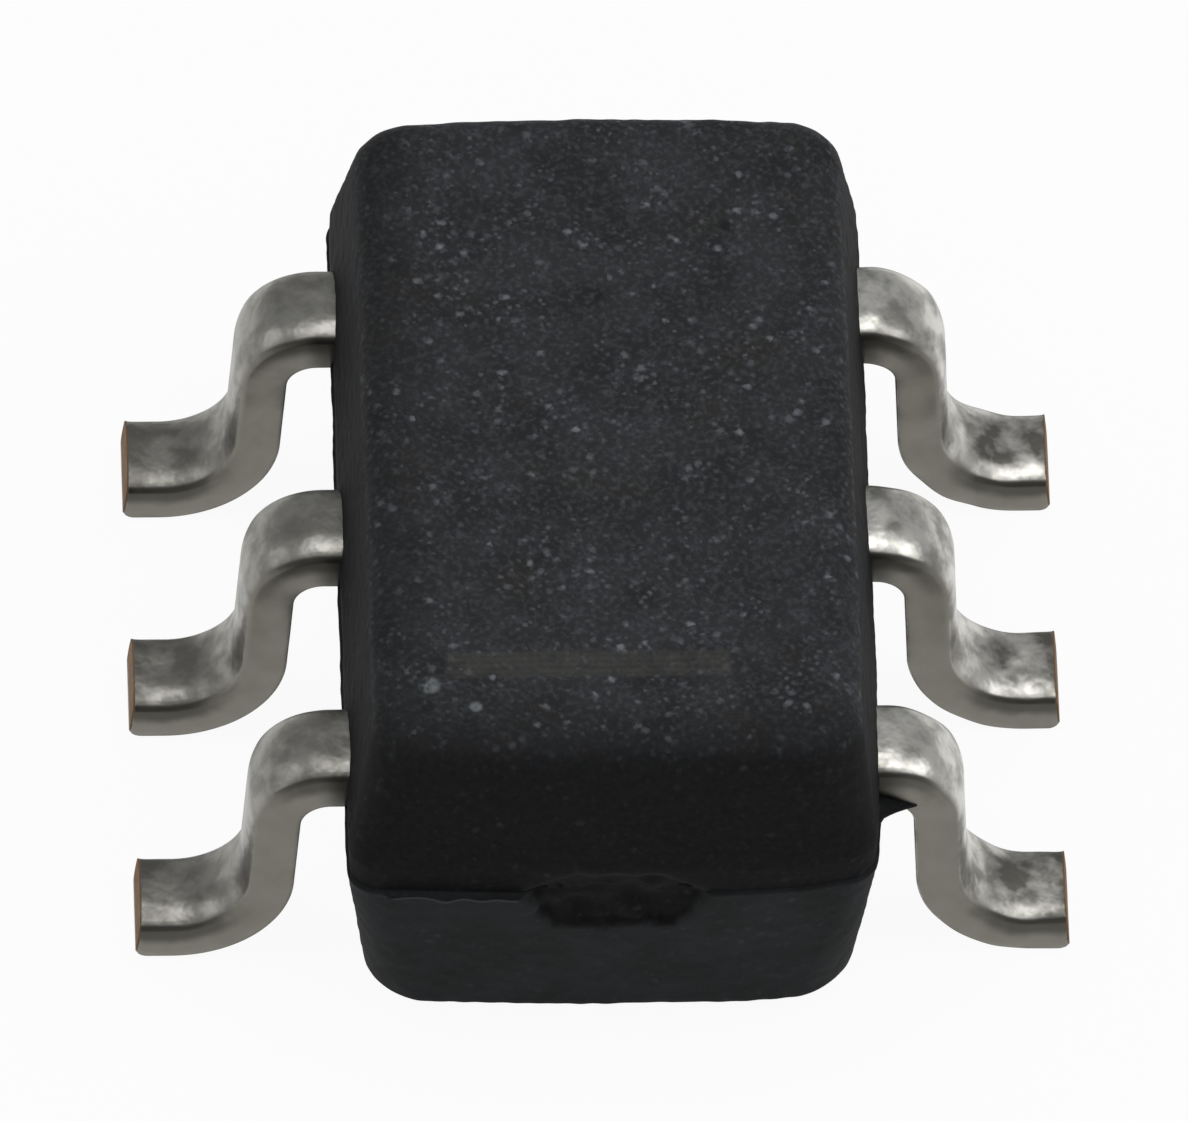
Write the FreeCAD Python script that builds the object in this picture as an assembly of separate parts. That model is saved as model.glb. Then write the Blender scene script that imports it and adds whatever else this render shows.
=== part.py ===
import FreeCAD, Part
import math
import os

# Current sense amplifier in a six-lead gull-wing package with a pitch of 0.65 mm.
# All sizes are in millimetres and degrees. The origin is on the seating plane, midway between the feet.
# +X runs across the leads, +Y runs along the moulding away from the pin 1 end, and +Z points up.

# Moulded body, measured at the parting plane where the two halves of the mould met
body_length = 2.03
body_width = 1.227
upper_half_height = 0.428
lower_half_height = 0.5
standoff = 0.05
upright_band = 0.08
upper_draft = 8.8
lower_draft = 6.2
end_crown = 0.02
parting_corner_radius = 0.065
top_corner_radius = 0.118
bottom_corner_radius = 0.16
face_edge_radius = 0.05
parting_ledge = 0.006
mould_shift = 0.012

# Scar of the gate, where the runner of compound was broken off the near end
gate_parting_width = 0.44
gate_lower_width = 0.31
gate_upper_width = 0.22
gate_drop = 0.15
gate_rise = 0.07
gate_depth = 0.035
gate_side_slope = 0.018

# Flash of compound that crept out beside lead 1
flash_reach = 0.05
flash_width = 0.036
flash_height = 0.1

# Leads, stamped from one strip and formed as gull wings
lead_pitch = 0.65
lead_width = 0.223
lead_thickness = 0.12
lead_edge_bevel = 0.02
shoulder_length = 0.024
upper_bend_radius = 0.07
lower_bend_radius = 0.16
riser_angle = 87.0
foot_flat = 0.083
tip_shear = 5.0
tip_roll = 0.028

# Lead fingers inside the moulding
anchor_setback = 0.12
middle_anchor_length = 0.12
middle_anchor_width = 0.3
corner_anchor_width = 0.06
corner_finger_gap = 0.28
finger_overlap = 0.04

# Die pad, which hangs lower than the leads and is one piece with lead 2
pad_gap = 0.11
pad_downset = 0.1
downset_angle = 45.0
downset_bend_radius = 0.04
downset_clearance = 0.01
ground_anchor_cover = 0.065

# Silicon die and the silver epoxy under it
die_side_margin = 0.06
die_end_margin = 0.1
die_thickness = 0.16
attach_thickness = 0.015
attach_margin = 0.02

# Gold bond wires, drawn with eight flat sides
wire_sides = 8
wire_diameter = 0.025
ball_diameter = 0.066
ball_top_diameter = 0.05
ball_height = 0.018
bond_pad_inset = 0.06
loop_height = 0.1
loop_run = 0.12
loop_corner_cut = 0.025
stitch_diameter = 0.07
stitch_top_diameter = 0.04
stitch_height = 0.024
stitch_setback = 0.08

UP = FreeCAD.Vector(0, 0, 1)
AWAY = FreeCAD.Vector(0, 1, 0)
TINY = 1e-6

# Heights that follow from the sizes above
parting_height = standoff + lower_half_height
top_height = parting_height + upper_half_height
lead_top = parting_height + lead_thickness
pad_bottom = parting_height - pad_downset
pad_top = pad_bottom + lead_thickness
die_bottom = pad_top + attach_thickness
die_top = die_bottom + die_thickness

# Places that follow, measured outwards from the middle of the package
anchor_start = body_width / 2 - anchor_setback
middle_finger_tip = anchor_start - middle_anchor_length
corner_finger_tip = corner_finger_gap / 2
bend_start = body_width / 2 + shoulder_length
pad_width = 2 * (middle_finger_tip - pad_gap)
pad_length = 2 * (lead_pitch - lead_width / 2 - pad_gap)
die_width = pad_width - 2 * die_side_margin
die_length = pad_length - 2 * die_end_margin


def vector(x, y, z):
    return FreeCAD.Vector(x, y, z)


def line(start, end):
    return Part.LineSegment(start, end).toShape()


def arc(start, middle, end):
    return Part.Arc(start, middle, end).toShape()


def slope(angle):
    return math.tan(math.radians(angle))


def plate(outline, bottom, thickness):
    """A flat plate from a list of (x, y) corners."""
    corners = [vector(x, y, bottom) for x, y in outline]
    face = Part.Face(Part.makePolygon(corners + corners[:1]))
    return face.extrude(UP * thickness)


def block(width, length, bottom, height):
    """A rectangular block centred over the origin."""
    corner = vector(-width / 2, -length / 2, bottom)
    return Part.makeBox(width, length, height, corner)


def turned(shape):
    """The same piece on the other side of the package, turned half a turn about Z."""
    other = shape.copy()
    other.rotate(vector(0, 0, 0), UP, 180)
    return other


def crowned_outline(length, width, corner_radius, height):
    """Plan outline of the moulding: straight sides, slightly bulged ends and tangent corner arcs."""
    half_width = width / 2
    end_radius = (half_width ** 2 + end_crown ** 2) / (2 * end_crown)
    end_centre = length / 2 - end_radius
    corner_x = half_width - corner_radius
    corner_y = end_centre + math.sqrt((end_radius - corner_radius) ** 2 - corner_x ** 2)
    tangent = math.atan2(corner_y - end_centre, corner_x)
    end_x = end_radius * math.cos(tangent)
    end_y = end_centre + end_radius * math.sin(tangent)
    middle_x = corner_x + corner_radius * math.cos(tangent / 2)
    middle_y = corner_y + corner_radius * math.sin(tangent / 2)

    def at(x, y):
        return vector(mould_shift + x, y, height)

    edges = []
    for end in (1, -1):
        side = at(end * half_width, end * corner_y)
        start = at(end * end_x, end * end_y)
        finish = at(-end * end_x, end * end_y)
        next_side = at(-end * half_width, end * corner_y)
        edges.append(arc(side, at(end * middle_x, end * middle_y), start))
        edges.append(arc(start, at(0, end * length / 2), finish))
        edges.append(arc(finish, at(-end * middle_x, end * middle_y), next_side))
        edges.append(line(next_side, at(-end * half_width, -end * corner_y)))
    return Part.Wire(edges)


def mould_half(overhang, start_height, face_height, draft, face_corner_radius):
    """Drafted walls of one half of the moulding, from where the draft starts to the flat face, whose edge is
    rounded. Overhang is how far the half stands out at the parting plane."""
    inset = abs(face_height - start_height) * slope(draft)
    length = body_length + 2 * overhang
    width = body_width + 2 * overhang
    start = crowned_outline(length, width, parting_corner_radius, start_height)
    face = crowned_outline(length - 2 * inset, width - 2 * inset, face_corner_radius, face_height)
    half = Part.makeLoft([start, face], True, True)
    rim = [edge for edge in half.Edges if abs(edge.BoundBox.ZMin - face_height) < TINY
           and edge.BoundBox.ZLength < TINY]
    return half.makeFillet(face_edge_radius, rim)


def gate_outline(depth, shrink):
    """Six-sided outline of the gate scar, at a depth behind the near end."""
    y = depth - body_length / 2
    upper = gate_upper_width / 2 - shrink
    parting = gate_parting_width / 2 - shrink
    lower = gate_lower_width / 2 - shrink
    top = parting_height + gate_rise - shrink
    bottom = parting_height - gate_drop + shrink
    corners = [(-parting, parting_height), (-lower, bottom), (lower, bottom),
               (parting, parting_height), (upper, top), (-upper, top)]
    points = [vector(x, y, z) for x, z in corners]
    return Part.makePolygon(points + points[:1])


def gate_scar():
    """The shallow recess with sloping sides that the broken gate leaves."""
    mouth = gate_outline(-gate_depth, -gate_side_slope)
    floor = gate_outline(gate_depth, gate_side_slope)
    return Part.makeLoft([mouth, floor], True, True)


def flash():
    """A thin wedge of compound that hugs lead 1 where it leaves the moulding."""
    wall = body_width / 2 + mould_shift
    inside = wall - flash_reach
    outside = wall + flash_reach
    top = parting_height + flash_height
    half_width = lead_width / 2 + flash_width
    corners = [(inside, parting_height), (outside, parting_height), (wall, top), (inside, top)]
    points = [vector(x, -lead_pitch - half_width, z) for x, z in corners]
    face = Part.Face(Part.makePolygon(points + points[:1]))
    return face.extrude(AWAY * (2 * half_width))


def moulded_body(held):
    """The moulding, cast round everything that it holds."""
    band_outline = crowned_outline(body_length, body_width, parting_corner_radius, parting_height)
    band = Part.Face(band_outline).extrude(UP * upright_band)
    upper = mould_half(0, parting_height + upright_band, top_height, upper_draft, top_corner_radius)
    lower = mould_half(parting_ledge, parting_height, standoff, lower_draft, bottom_corner_radius)
    solid = band.fuse([upper, lower, flash()])
    return solid.cut([gate_scar()] + held)


def centreline(start, moves):
    """The middle line of a bent strip, seen from the side, and the point where it ends.
    A move is (length, 0) for a straight run or (inner_radius, turn) for a bend; upward turns are positive."""
    edges = []
    position = start
    heading = 0.0
    for size, turn in moves:
        if turn == 0:
            finish = position + vector(math.cos(heading), 0, math.sin(heading)) * size
            edges.append(line(position, finish))
        else:
            side = math.copysign(1, turn)
            radius = size + lead_thickness / 2
            centre = position + upward(heading) * (side * radius)
            half_way = heading + math.radians(turn) / 2
            heading = heading + math.radians(turn)
            finish = centre - upward(heading) * (side * radius)
            edges.append(arc(position, centre - upward(half_way) * (side * radius), finish))
        position = finish
    return Part.Wire(edges), position


def upward(heading):
    """Unit vector square to a heading in the side view."""
    return vector(-math.sin(heading), 0, math.cos(heading))


def strip_section(start):
    """Cross-section of the lead strip: a rectangle whose four long edges are bevelled."""
    half_width = lead_width / 2
    half_height = lead_thickness / 2
    inner_width = half_width - lead_edge_bevel
    inner_height = half_height - lead_edge_bevel
    corners = [(half_width, inner_height), (inner_width, half_height),
               (-inner_width, half_height), (-half_width, inner_height),
               (-half_width, -inner_height), (-inner_width, -half_height),
               (inner_width, -half_height), (half_width, -inner_height)]
    points = [start + vector(0, y, z) for y, z in corners]
    return Part.makePolygon(points + points[:1])


def bent_strip(start_x, start_z, moves):
    """A strip swept along its middle line. Its tip is sheared off so that the top is shorter, and the lower
    edge of the tip is rolled over, drawn here as a bevel."""
    start = vector(start_x, 0, start_z)
    path, finish = centreline(start, moves)
    strip = path.makePipeShell([strip_section(start)], True, False)
    sole_end = finish - UP * (lead_thickness / 2)
    offcut = Part.makeBox(lead_thickness, 2 * lead_width, 3 * lead_thickness,
                          sole_end - AWAY * lead_width - UP * lead_thickness)
    offcut.rotate(sole_end, AWAY, -tip_shear)
    roll_start = sole_end - vector(tip_roll, 0, 0)
    rolled = Part.makeBox(lead_thickness, 2 * lead_width, lead_thickness,
                          roll_start - AWAY * lead_width - UP * lead_thickness)
    rolled.rotate(roll_start, AWAY, -45)
    return strip.cut([offcut, rolled])


def gull_wing():
    """Moves of the outer part of a lead, from the start of its shoulder bend to its tip."""
    upper_radius = upper_bend_radius + lead_thickness / 2
    lower_radius = lower_bend_radius + lead_thickness / 2
    bends_drop = (upper_radius + lower_radius) * (1 - math.cos(math.radians(riser_angle)))
    riser_length = (parting_height - bends_drop) / math.sin(math.radians(riser_angle))
    return [(upper_bend_radius, -riser_angle), (riser_length, 0),
            (lower_bend_radius, riser_angle), (foot_flat, 0)]


def straight_lead():
    """Lead that stays level inside the moulding."""
    start_x = anchor_start - finger_overlap
    moves = [(bend_start - start_x, 0)] + gull_wing()
    return bent_strip(start_x, parting_height + lead_thickness / 2, moves)


def anchor_head(start, end):
    """T-shaped head that locks a middle lead into the compound."""
    half = middle_anchor_width / 2
    outline = [(start, -half), (end, -half), (end, half), (start, half)]
    return plate(outline, parting_height, lead_thickness)


def corner_lead(end):
    """A lead beside one end of the moulding: its finger reaches past the pad and widens towards that end."""
    near = -end * lead_width / 2
    far = end * (lead_width / 2 + corner_anchor_width)
    tip = corner_finger_tip
    outline = [(tip, near), (anchor_start, near), (anchor_start, far), (tip, far)]
    lead = straight_lead().fuse(plate(outline, parting_height, lead_thickness))
    lead.translate(AWAY * (end * lead_pitch))
    return lead.removeSplitter()


def middle_lead():
    """The lead between two corner leads, with a T-shaped head."""
    return straight_lead().fuse(anchor_head(middle_finger_tip, anchor_start)).removeSplitter()


def downset_ramp():
    """Length of the sloping run between die pad and lead 2, and where the lead is level again."""
    angle = math.radians(downset_angle)
    radius = downset_bend_radius + lead_thickness / 2
    ramp = (pad_downset - 2 * radius * (1 - math.cos(angle))) / math.sin(angle)
    reach = 2 * radius * math.sin(angle) + ramp * math.cos(angle)
    return ramp, pad_width / 2 + downset_clearance + reach


def ground_lead():
    """Lead 2, which runs down to the die pad and is one stamping with it."""
    ramp, level_start = downset_ramp()
    moves = [(pad_width / 2 + downset_clearance, 0), (downset_bend_radius, downset_angle), (ramp, 0),
             (downset_bend_radius, -downset_angle), (bend_start - level_start, 0)] + gull_wing()
    strip = bent_strip(0, pad_bottom + lead_thickness / 2, moves)
    pad = block(pad_width, pad_length, pad_bottom, lead_thickness)
    head = anchor_head(level_start, body_width / 2 - ground_anchor_cover)
    return strip.fuse([pad, head]).removeSplitter()


def cut_corners(points, cut):
    """The same points with each inner corner replaced by two, a short way before and after it."""
    result = points[:1]
    for before, corner, after in zip(points, points[1:], points[2:]):
        result.append(corner + (before - corner).normalize() * cut)
        result.append(corner + (after - corner).normalize() * cut)
    return result + points[-1:]


def ring(centre, diameter):
    """A level polygon with wire_sides sides, as wide across its flats as the diameter."""
    radius = diameter / 2 / math.cos(math.pi / wire_sides)
    angles = [2 * math.pi * (side + 0.5) / wire_sides for side in range(wire_sides)]
    points = [centre + vector(math.cos(angle), math.sin(angle), 0) * radius for angle in angles]
    return Part.makePolygon(points + points[:1])


def pressed_bond(x, y, bottom, height, diameter, top_diameter):
    """Gold pressed flat on a surface, narrower at its top."""
    base = ring(vector(x, y, bottom), diameter)
    top = ring(vector(x, y, bottom + height), top_diameter)
    return Part.makeLoft([base, top], True, True)


def bond_wire(pad_x, pad_y, stitch_x, stitch_y):
    """One wire: it rises from its ball, runs level for a while and slopes down into its stitch."""
    along = vector(stitch_x - pad_x, stitch_y - pad_y, 0).normalize()
    pad = vector(pad_x, pad_y, 0)
    loop_top = die_top + loop_height
    start = pad + UP * (die_top + ball_height / 2)
    points = [start, pad + UP * loop_top, pad + along * loop_run + UP * loop_top,
              vector(stitch_x, stitch_y, lead_top + stitch_height / 2)]
    path = Part.makePolygon(cut_corners(points, loop_corner_cut))
    mitred = 1
    tube = path.makePipeShell([ring(start, wire_diameter)], True, False, mitred)
    ball = pressed_bond(pad_x, pad_y, die_top, ball_height, ball_diameter, ball_top_diameter)
    stitch = pressed_bond(stitch_x, stitch_y, lead_top, stitch_height, stitch_diameter, stitch_top_diameter)
    return tube.fuse([ball, stitch])


def bond_wires():
    """The six wires, in the order of the leads: counterclockwise from pin 1, seen from above."""
    pad_x = die_width / 2 - bond_pad_inset
    pad_y = die_length / 2 - bond_pad_inset
    corner_x = corner_finger_tip + stitch_setback
    corner_y = lead_pitch - lead_width / 2 + stitch_setback
    ramp, level_start = downset_ramp()
    ground_x = (level_start + body_width / 2 - ground_anchor_cover) / 2
    middle_x = (middle_finger_tip + anchor_start) / 2
    return [bond_wire(pad_x, -pad_y, corner_x, -corner_y),
            bond_wire(pad_x, 0, ground_x, 0),
            bond_wire(pad_x, pad_y, corner_x, corner_y),
            bond_wire(-pad_x, pad_y, -corner_x, corner_y),
            bond_wire(-pad_x, 0, -middle_x, 0),
            bond_wire(-pad_x, -pad_y, -corner_x, -corner_y)]


def pieces():
    """Every piece by name."""
    near_lead = corner_lead(-1)
    far_lead = corner_lead(1)
    held = {
        "lead_1": near_lead,
        "lead_2_die_pad": ground_lead(),
        "lead_3": far_lead,
        "lead_4": turned(near_lead),
        "lead_5": turned(middle_lead()),
        "lead_6": turned(far_lead),
        "die_attach": block(die_width + 2 * attach_margin, die_length + 2 * attach_margin,
                            pad_top, attach_thickness),
        "silicon_die": block(die_width, die_length, die_bottom, die_thickness),
    }
    for number, wire in enumerate(bond_wires(), start=1):
        held[f"bond_wire_{number}"] = wire
    return {"moulded_body": moulded_body(list(held.values())), **held}


def export(name, shape):
    """Write one piece, which has to be a single solid."""
    solids = shape.Solids
    if len(solids) != 1:
        raise ValueError(f"{name} came out as {len(solids)} solids")
    solids[0].exportStep(f"parts/{name}.step")
    print(f"{name}: {solids[0].Volume:.5f} mm3, valid {solids[0].isValid()}")


os.makedirs("parts", exist_ok=True)
for piece_name, piece_shape in pieces().items():
    export(piece_name, piece_shape)
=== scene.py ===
# %% [markdown]
# # A six-lead current sense amplifier, close up
#
# The real object is two millimetres long. A black epoxy moulding holds a silicon die on a copper pad, gold
# wires run from the die to six copper leads, and the leads leave the moulding as tin-plated gull wings.
#
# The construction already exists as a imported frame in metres. This lesson gives it its looks: finer surfaces
# for the moulding and the leads, a finish for every piece, a floor, soft light and a camera.

# %% Load the frame
import math
import bpy
import numpy as np
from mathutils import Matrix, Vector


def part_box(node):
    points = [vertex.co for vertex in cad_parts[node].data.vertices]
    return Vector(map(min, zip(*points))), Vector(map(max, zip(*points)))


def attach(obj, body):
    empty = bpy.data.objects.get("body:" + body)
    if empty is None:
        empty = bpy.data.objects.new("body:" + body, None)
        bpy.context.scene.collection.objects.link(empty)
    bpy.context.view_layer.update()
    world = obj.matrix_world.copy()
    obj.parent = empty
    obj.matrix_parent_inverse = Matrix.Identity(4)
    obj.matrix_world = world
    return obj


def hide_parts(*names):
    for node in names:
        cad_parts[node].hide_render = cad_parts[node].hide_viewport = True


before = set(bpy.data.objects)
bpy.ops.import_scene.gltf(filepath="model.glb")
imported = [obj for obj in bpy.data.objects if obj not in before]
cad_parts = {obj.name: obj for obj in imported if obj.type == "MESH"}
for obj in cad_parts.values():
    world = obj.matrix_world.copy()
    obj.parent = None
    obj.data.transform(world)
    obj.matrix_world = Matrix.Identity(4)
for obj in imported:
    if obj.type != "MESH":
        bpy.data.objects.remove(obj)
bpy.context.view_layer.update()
print("nodes in the frame:", len(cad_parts))

# %% [markdown]
# Sizes come in two kinds. What the frame can tell is read from it, such as the height of the moulding. What
# it can't tell, such as the draft of a wall, is named here once, in millimetres, as the maker would name it.

# %% Sizes of the real object
MM = 1e-3
MICRON = 1e-6

body_low, body_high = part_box("moulded_body")
standoff = body_low.z
top_height = body_high.z

body_width = 1.227 * MM
body_length = 2.03 * MM
lower_half_height = 0.5 * MM
upright_band = 0.08 * MM
upper_draft = math.radians(8.8)
lower_draft = math.radians(6.2)
end_crown = 0.02 * MM
parting_corner_radius = 0.065 * MM
top_corner_radius = 0.13 * MM
bottom_corner_radius = 0.145 * MM
top_edge_round = 0.068 * MM
bottom_edge_round = 0.022 * MM
lower_end_draft_share = 1.25
parting_ledge = 0.006 * MM
mould_shift = 0.012 * MM

lead_pitch = 0.65 * MM
lead_width = 0.223 * MM
lead_thickness = 0.12 * MM
shoulder_length = 0.024 * MM
upper_bend_radius = 0.07 * MM
lower_bend_radius = 0.16 * MM
riser_angle = math.radians(87)
foot_flat = 0.083 * MM
tip_shear = math.radians(5)

parting_height = standoff + lower_half_height
upper_half_height = top_height - parting_height
print(f"moulding from {standoff / MM:.3f} to {top_height / MM:.3f} mm")
print(f"parting line at {parting_height / MM:.3f} mm")

# %% [markdown]
# ## The camera
#
# The photograph is taken from the front and about fifty degrees above, with a long lens. Distances in the
# picture fix the camera: how many pixels a millimetre takes at the object, the two angles, the slight roll,
# and where the middle of the object falls. A camera could also be placed by eye, but here sizes worked back
# from the picture place it.

# %% Place the camera
photo_width = 1188
photo_height = 1121
pixels_per_mm = 431.6
camera_azimuth = math.radians(-3.33)
camera_elevation = math.radians(51.27)
camera_roll = math.radians(2.14)
camera_distance = 110 * MM
sensor_width_mm = 36.0
target = np.array([0.018, 0.0, 0.4]) * MM
target_pixel = np.array([604.8, 589.9])


def camera_axes(azimuth, elevation, roll):
    """Right, up and backward directions of a camera. Backward points from the object to the camera, right is
    level, up is their cross product, and the roll turns right and up about backward."""
    backward = np.array([math.sin(azimuth) * math.cos(elevation),
                         -math.cos(azimuth) * math.cos(elevation),
                         math.sin(elevation)])
    level = np.array([math.cos(azimuth), math.sin(azimuth), 0.0])
    upward = np.cross(backward, level)
    right = math.cos(roll) * level + math.sin(roll) * upward
    up = math.cos(roll) * upward - math.sin(roll) * level
    return right, up, backward


def add_camera():
    """A camera whose lens gives the pixels per millimetre, moved sideways and up by as much as the middle of
    the object falls beside the middle of the picture."""
    right, up, backward = camera_axes(camera_azimuth, camera_elevation, camera_roll)
    offset = (target_pixel - np.array([photo_width, photo_height]) / 2) / pixels_per_mm * MM
    place = target + backward * camera_distance - right * offset[0] + up * offset[1]
    data = bpy.data.cameras.new("camera")
    data.sensor_width = sensor_width_mm
    data.lens = pixels_per_mm * camera_distance / MM * sensor_width_mm / photo_width
    data.clip_start = 0.1 * camera_distance
    data.clip_end = 10 * camera_distance
    camera = bpy.data.objects.new("camera", data)
    matrix = np.eye(4)
    matrix[:3, 0], matrix[:3, 1], matrix[:3, 2], matrix[:3, 3] = right, up, backward, place
    camera.matrix_world = matrix.T.tolist()
    bpy.context.scene.collection.objects.link(camera)
    bpy.context.scene.camera = camera
    return camera


camera = add_camera()
print(f"camera lens {camera.data.lens:.0f} mm at {camera_distance / MM:.0f} mm")

# %% [markdown]
# ## Meshes from rings
#
# Both the moulding and the leads are closed forms that can be cut into a stack of rings: level outlines for
# the moulding, cross-sections for a lead. One helper turns such a stack into a mesh, so each piece only has
# to say where the points of its rings lie. Rings as numpy arrays are quick, and every ring has as many
# points as the next, so the faces follow from counting alone.

# %% Helper that closes a stack of rings
def ring_mesh(name, rings, first_pole, last_pole):
    """A closed mesh from rings[i, j]. Point j of ring i joins point j + 1 and the same points of ring i + 1
    in a four-sided face, and a fan of triangles runs from each pole to the ring beside it. Seen from the last
    pole the points run counterclockwise, so that the faces look outwards."""
    count, around = rings.shape[:2]
    here = np.arange(around)
    after = np.roll(here, -1)
    row = np.arange(count - 1)[:, None] * around
    quads = np.stack([row + here, row + after, row + around + after, row + around + here], axis=-1)
    first = count * around
    last_row = (count - 1) * around
    first_fan = np.stack([np.full(around, first), after, here], axis=-1)
    last_fan = np.stack([np.full(around, first + 1), last_row + here, last_row + after], axis=-1)
    points = np.vstack([rings.reshape(-1, 3), first_pole, last_pole])
    faces = quads.reshape(-1, 4).tolist() + first_fan.tolist() + last_fan.tolist()
    mesh = bpy.data.meshes.new(name)
    mesh.from_pydata(points.tolist(), [], faces)
    mesh.polygons.foreach_set("use_smooth", np.ones(len(mesh.polygons), dtype=bool))
    return mesh


def carry(mesh, name, values):
    """Let the mesh carry one value per point, which its finish can read by name."""
    attribute = mesh.attributes.new(name, "FLOAT", "POINT")
    attribute.data.foreach_set("value", values.astype(np.float32))


def add_piece(mesh, slot, *nodes):
    """Put a mesh into the scene as a piece that stands for the named nodes."""
    piece = bpy.data.objects.new(mesh.name, mesh)
    bpy.context.scene.collection.objects.link(piece)
    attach(piece, "root")
    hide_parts(*nodes)
    print(f"{piece.name}: {sum(len(face.vertices) - 2 for face in mesh.polygons)} triangles")
    return piece


# %% [markdown]
# No real surface at this size is smooth. Spark erosion leaves the mould rough, and plating leaves the leads
# slightly wavy. A sum of plane waves with random directions gives an even, natural looking unevenness that
# is the same on each run, because its random numbers start from a fixed seed.

# %% Helper for unevenness
def unevenness(points, wavelength, seed, waves=48):
    """Smooth noise at points[..., 3], about one unit high. It is the sum of cosines of plane waves, each with
    its own direction, phase and a wavelength near the one given, divided by the root of half their count."""
    random = np.random.default_rng(seed)
    directions = random.normal(size=(waves, 3))
    directions /= np.linalg.norm(directions, axis=1)[:, None]
    frequencies = 2 * math.pi / wavelength * random.uniform(0.7, 1.5, size=waves)
    phases = random.uniform(0, 2 * math.pi, size=waves)
    angles = points @ (directions * frequencies[:, None]).T + phases
    return np.cos(angles).sum(axis=-1) / math.sqrt(waves / 2)


# %% [markdown]
# ## The moulding
#
# The epoxy is cast in two half moulds, whose walls lean so that the part drops out. Each level of it is a
# rounded rectangle. Such an outline is a point that walks round an inner rectangle with a radius held out
# square to the walk, and both the walk and the turning of the radius are straight-line functions of the
# distance, so plain interpolation gives them.

# %% Outline of one level
def rounded_outline(half_x, half_y, radius, count):
    """Points and outward directions of a rounded rectangle, evenly spaced along it. Each point is a place on
    the inner rectangle plus the radius times the direction (cosine, sine) of an angle. Place and angle change
    linearly between the ends of the straight sides and the corner arcs."""
    core_x = half_x - radius
    core_y = half_y - radius
    quarter = radius * math.pi / 2
    steps = [core_y, quarter, 2 * core_x, quarter, 2 * core_y, quarter, 2 * core_x, quarter, core_y]
    stops = np.concatenate([[0.0], np.cumsum(steps)])
    walk = np.linspace(0, stops[-1], count, endpoint=False)
    place_x = np.interp(walk, stops, core_x * np.array([1, 1, 1, -1, -1, -1, -1, 1, 1, 1]))
    place_y = np.interp(walk, stops, core_y * np.array([0, 1, 1, 1, 1, -1, -1, -1, -1, 0]))
    angle = np.interp(walk, stops, math.pi / 2 * np.array([0, 0, 1, 1, 2, 2, 3, 3, 4, 4]))
    outward = np.stack([np.cos(angle), np.sin(angle)], axis=-1)
    return np.stack([place_x, place_y], axis=-1) + radius * outward, outward


# %% [markdown]
# The side view of one half is short: an upright band beside the parting line, a leaning wall and a round
# edge into the flat face. It is a list of rows, each with how far the wall has drawn in, its height and the
# slope of its surface. The same function makes both halves, because the lower one is the upper one turned
# over, with other sizes and no band.

# %% Side view of half a moulding
def half_profile(height, band, draft, radius, wall_rows, edge_rows):
    """Inset, rise and normal angle of each row from the parting line to the flat face. Above the band the
    wall draws in by the rise times the tangent of the draft. The round edge touches the wall and the face, so
    its centre lies one radius below the face and one radius inside the wall."""
    centre = radius * (1 - math.sin(draft)) / math.cos(draft)
    edge_angle = np.linspace(draft, math.pi / 2, edge_rows)
    edge_rise = height - radius + radius * np.sin(edge_angle)
    edge_inset = (height - band) * math.tan(draft) + centre - radius * np.cos(edge_angle)
    wall_rise = np.linspace(0, edge_rise[0], wall_rows, endpoint=False)
    wall_inset = np.clip(wall_rise - band, 0, None) * math.tan(draft)
    inset = np.concatenate([wall_inset, edge_inset])
    rise = np.concatenate([wall_rise, edge_rise])
    normal = np.concatenate([np.where(wall_rise < band, 0.0, draft), edge_angle])
    return inset, rise, normal


def level_radius(inset, rise, height, band, draft, face_radius):
    """Corner radius of each row. Above the band it grows evenly, and on the round edge it shrinks by as much
    as the edge draws in."""
    above = np.clip(rise - band, 0, None)
    wall_radius = parting_corner_radius + above / (height - band) * (face_radius - parting_corner_radius)
    drawn_in = inset - above * math.tan(draft)
    return wall_radius - drawn_in


# %% [markdown]
# The rows become rings, and each flat face is closed by rings that shrink towards its middle. The ends of the
# moulding bulge a little. The mould marks come last, as moves of the points: the broken gate is a shallow
# recess in the near end, and thin flash stands out beside lead 1 and along the parting line.

# %% Rings of the moulding
points_around = 560
top_wall_rows = 34
top_edge_rows = 12
top_cap_rows = 56
bottom_wall_rows = 38
bottom_edge_rows = 10
bottom_cap_rows = 8

upper_half = (upper_half_height, upright_band, upper_draft)
lower_half = (lower_half_height, 0.0, lower_draft)
upper_profile = half_profile(*upper_half, top_edge_round, top_wall_rows, top_edge_rows)
lower_profile = half_profile(*lower_half, bottom_edge_round, bottom_wall_rows, bottom_edge_rows)


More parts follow.
